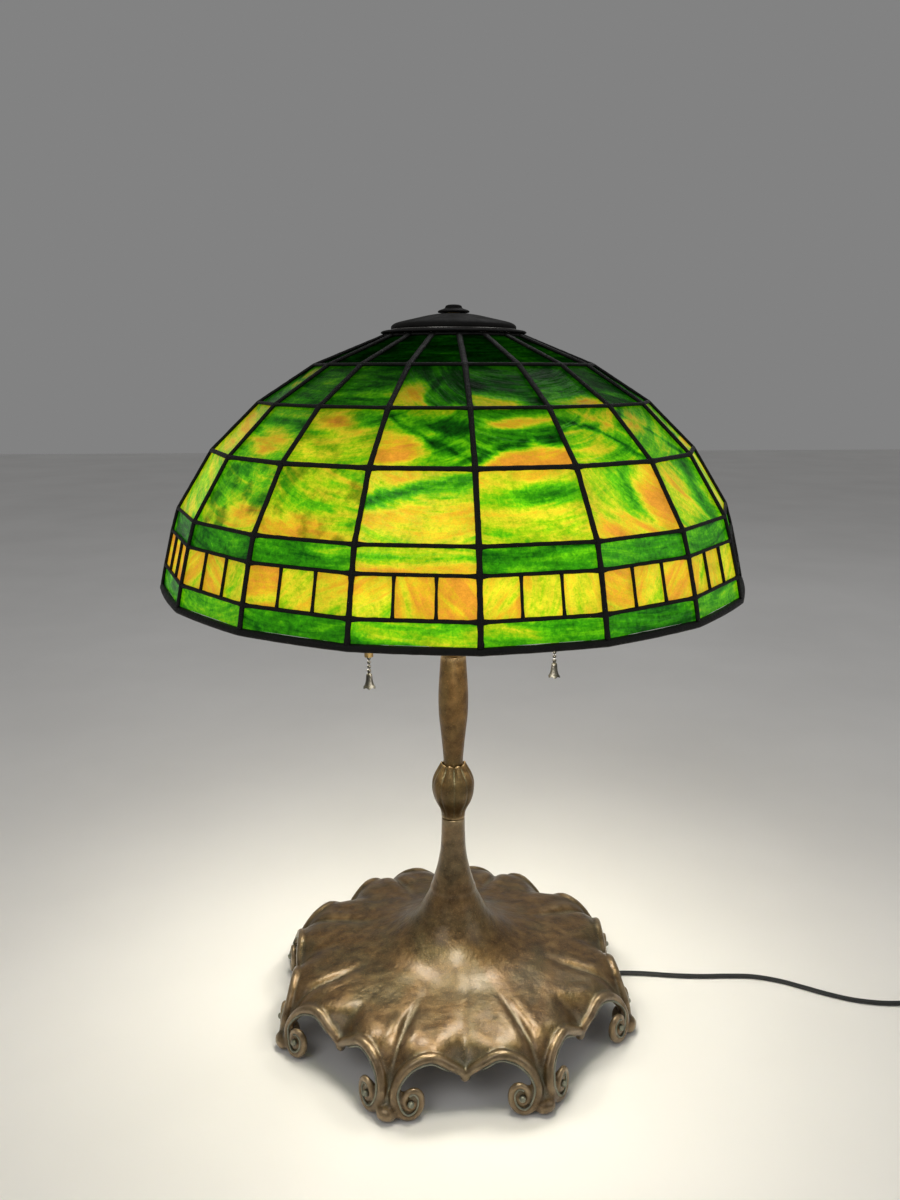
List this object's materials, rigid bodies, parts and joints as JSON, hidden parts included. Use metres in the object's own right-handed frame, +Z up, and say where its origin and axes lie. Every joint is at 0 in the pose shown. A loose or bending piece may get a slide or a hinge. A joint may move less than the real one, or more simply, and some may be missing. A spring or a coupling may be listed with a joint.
{
  "type": "table lamp",
  "caption": "Table lamp with a domed leaded glass shade over a pull-chain light cluster, turned bronze stem with a ribbed knop, and a flared scroll-footed base.",
  "frame": {"origin": "on the lamp's axis, on the surface that it stands on", "axes": "+Z up the stem, -Y towards the front, +X to the right; the cord leaves towards +X"},
  "size_m": [0.7184, 0.4598, 0.6017],
  "materials": {
    "bronze": "brown patina, satin",
    "lead": "dark patina, hand soldered",
    "steel": "zinc plated",
    "brass": "aged",
    "phenolic": "black moulded",
    "pewter": "dark antique",
    "bulb": "warm white",
    "cap_black": "dark bronze patina",
    "rim_metal": "dark bronze patina",
    "cord_black": "matte black",
    "glass_1": "streaky art glass",
    "glass_2": "streaky art glass",
    "glass_3": "streaky art glass",
    "glass_4": "streaky art glass",
    "glass_5": "streaky art glass",
    "glass_6": "streaky art glass",
    "glass_7": "streaky art glass"
  },
  "bodies": {
    "stand": {"base_casting": "bronze", "stem_knop": "bronze", "upper_stem": "bronze", "center_pipe": "steel", "bottom_washer": "steel", "bottom_nut": "brass", "cord_bushing": "phenolic", "cluster_body": "brass", "socket_cap_1": "brass", "socket_cap_2": "brass", "socket_cap_3": "brass", "socket_shell_1": "brass", "socket_shell_2": "brass", "socket_shell_3": "brass", "socket_core_1": "phenolic", "socket_core_2": "phenolic", "socket_core_3": "phenolic", "screw_shell_1": "brass", "screw_shell_2": "brass", "screw_shell_3": "brass", "riser_rod": "brass", "shade_spider": "brass", "mains_cord": "cord_black", "cord_coil": "cord_black", "cord_tie": "phenolic", "plug_body": "phenolic", "plug_blade_1": "brass", "plug_blade_2": "brass"},
    "shade": {"aperture_ring": "brass", "lead_lattice": "lead", "glass_row_1": "glass_1", "glass_row_2": "glass_2", "glass_row_3": "glass_3", "glass_row_4": "glass_4", "glass_row_5": "glass_5", "glass_row_6": "glass_6", "glass_row_7": "glass_7", "rim_band": "rim_metal", "heat_cap": "cap_black"},
    "finial": {"finial": "cap_black"},
    "bulb_1": {"bulb_base_1": "steel", "bulb_glass_1": "bulb"},
    "pull_1": {"pull_chain_1": "brass", "pull_bell_1": "pewter"},
    "bulb_2": {"bulb_base_2": "steel", "bulb_glass_2": "bulb"},
    "pull_2": {"pull_chain_2": "brass", "pull_bell_2": "pewter"},
    "bulb_3": {"bulb_base_3": "steel", "bulb_glass_3": "bulb"},
    "pull_3": {"pull_chain_3": "brass", "pull_bell_3": "pewter"}
  },
  "joints": [
    {"name": "shade_turn", "type": "hinge", "parent": "stand", "child": "shade", "pos_m": [0, 0, 0.578], "axis": [0, 0, 1], "continuous": true},
    {"name": "finial_screw", "type": "hinge", "parent": "stand", "child": "finial", "pos_m": [0, 0, 0.597], "axis": [0, 0, 1], "range_deg": [0, 1080]},
    {"name": "bulb_screw_1", "type": "hinge", "parent": "stand", "child": "bulb_1", "pos_m": [-0.03372, -0.02504, 0.35], "axis": [-0.6808, -0.5056, 0.5299], "range_deg": [0, 900]},
    {"name": "bulb_screw_2", "type": "hinge", "parent": "stand", "child": "bulb_2", "pos_m": [0.03855, -0.01668, 0.35], "axis": [0.7783, -0.3368, 0.5299], "range_deg": [0, 900]},
    {"name": "bulb_screw_3", "type": "hinge", "parent": "stand", "child": "bulb_3", "pos_m": [-0.00483, 0.04172, 0.35], "axis": [-0.0975, 0.8424, 0.5299], "range_deg": [0, 900]},
    {"name": "chain_pull_1", "type": "slide", "parent": "stand", "child": "pull_1", "axis": [0, 0, -1], "range_m": [0, 0.008], "stiffness_N_per_m": 300},
    {"name": "chain_pull_2", "type": "slide", "parent": "stand", "child": "pull_2", "axis": [0, 0, -1], "range_m": [0, 0.008], "stiffness_N_per_m": 300},
    {"name": "chain_pull_3", "type": "slide", "parent": "stand", "child": "pull_3", "axis": [0, 0, -1], "range_m": [0, 0.008], "stiffness_N_per_m": 300}
  ]
}
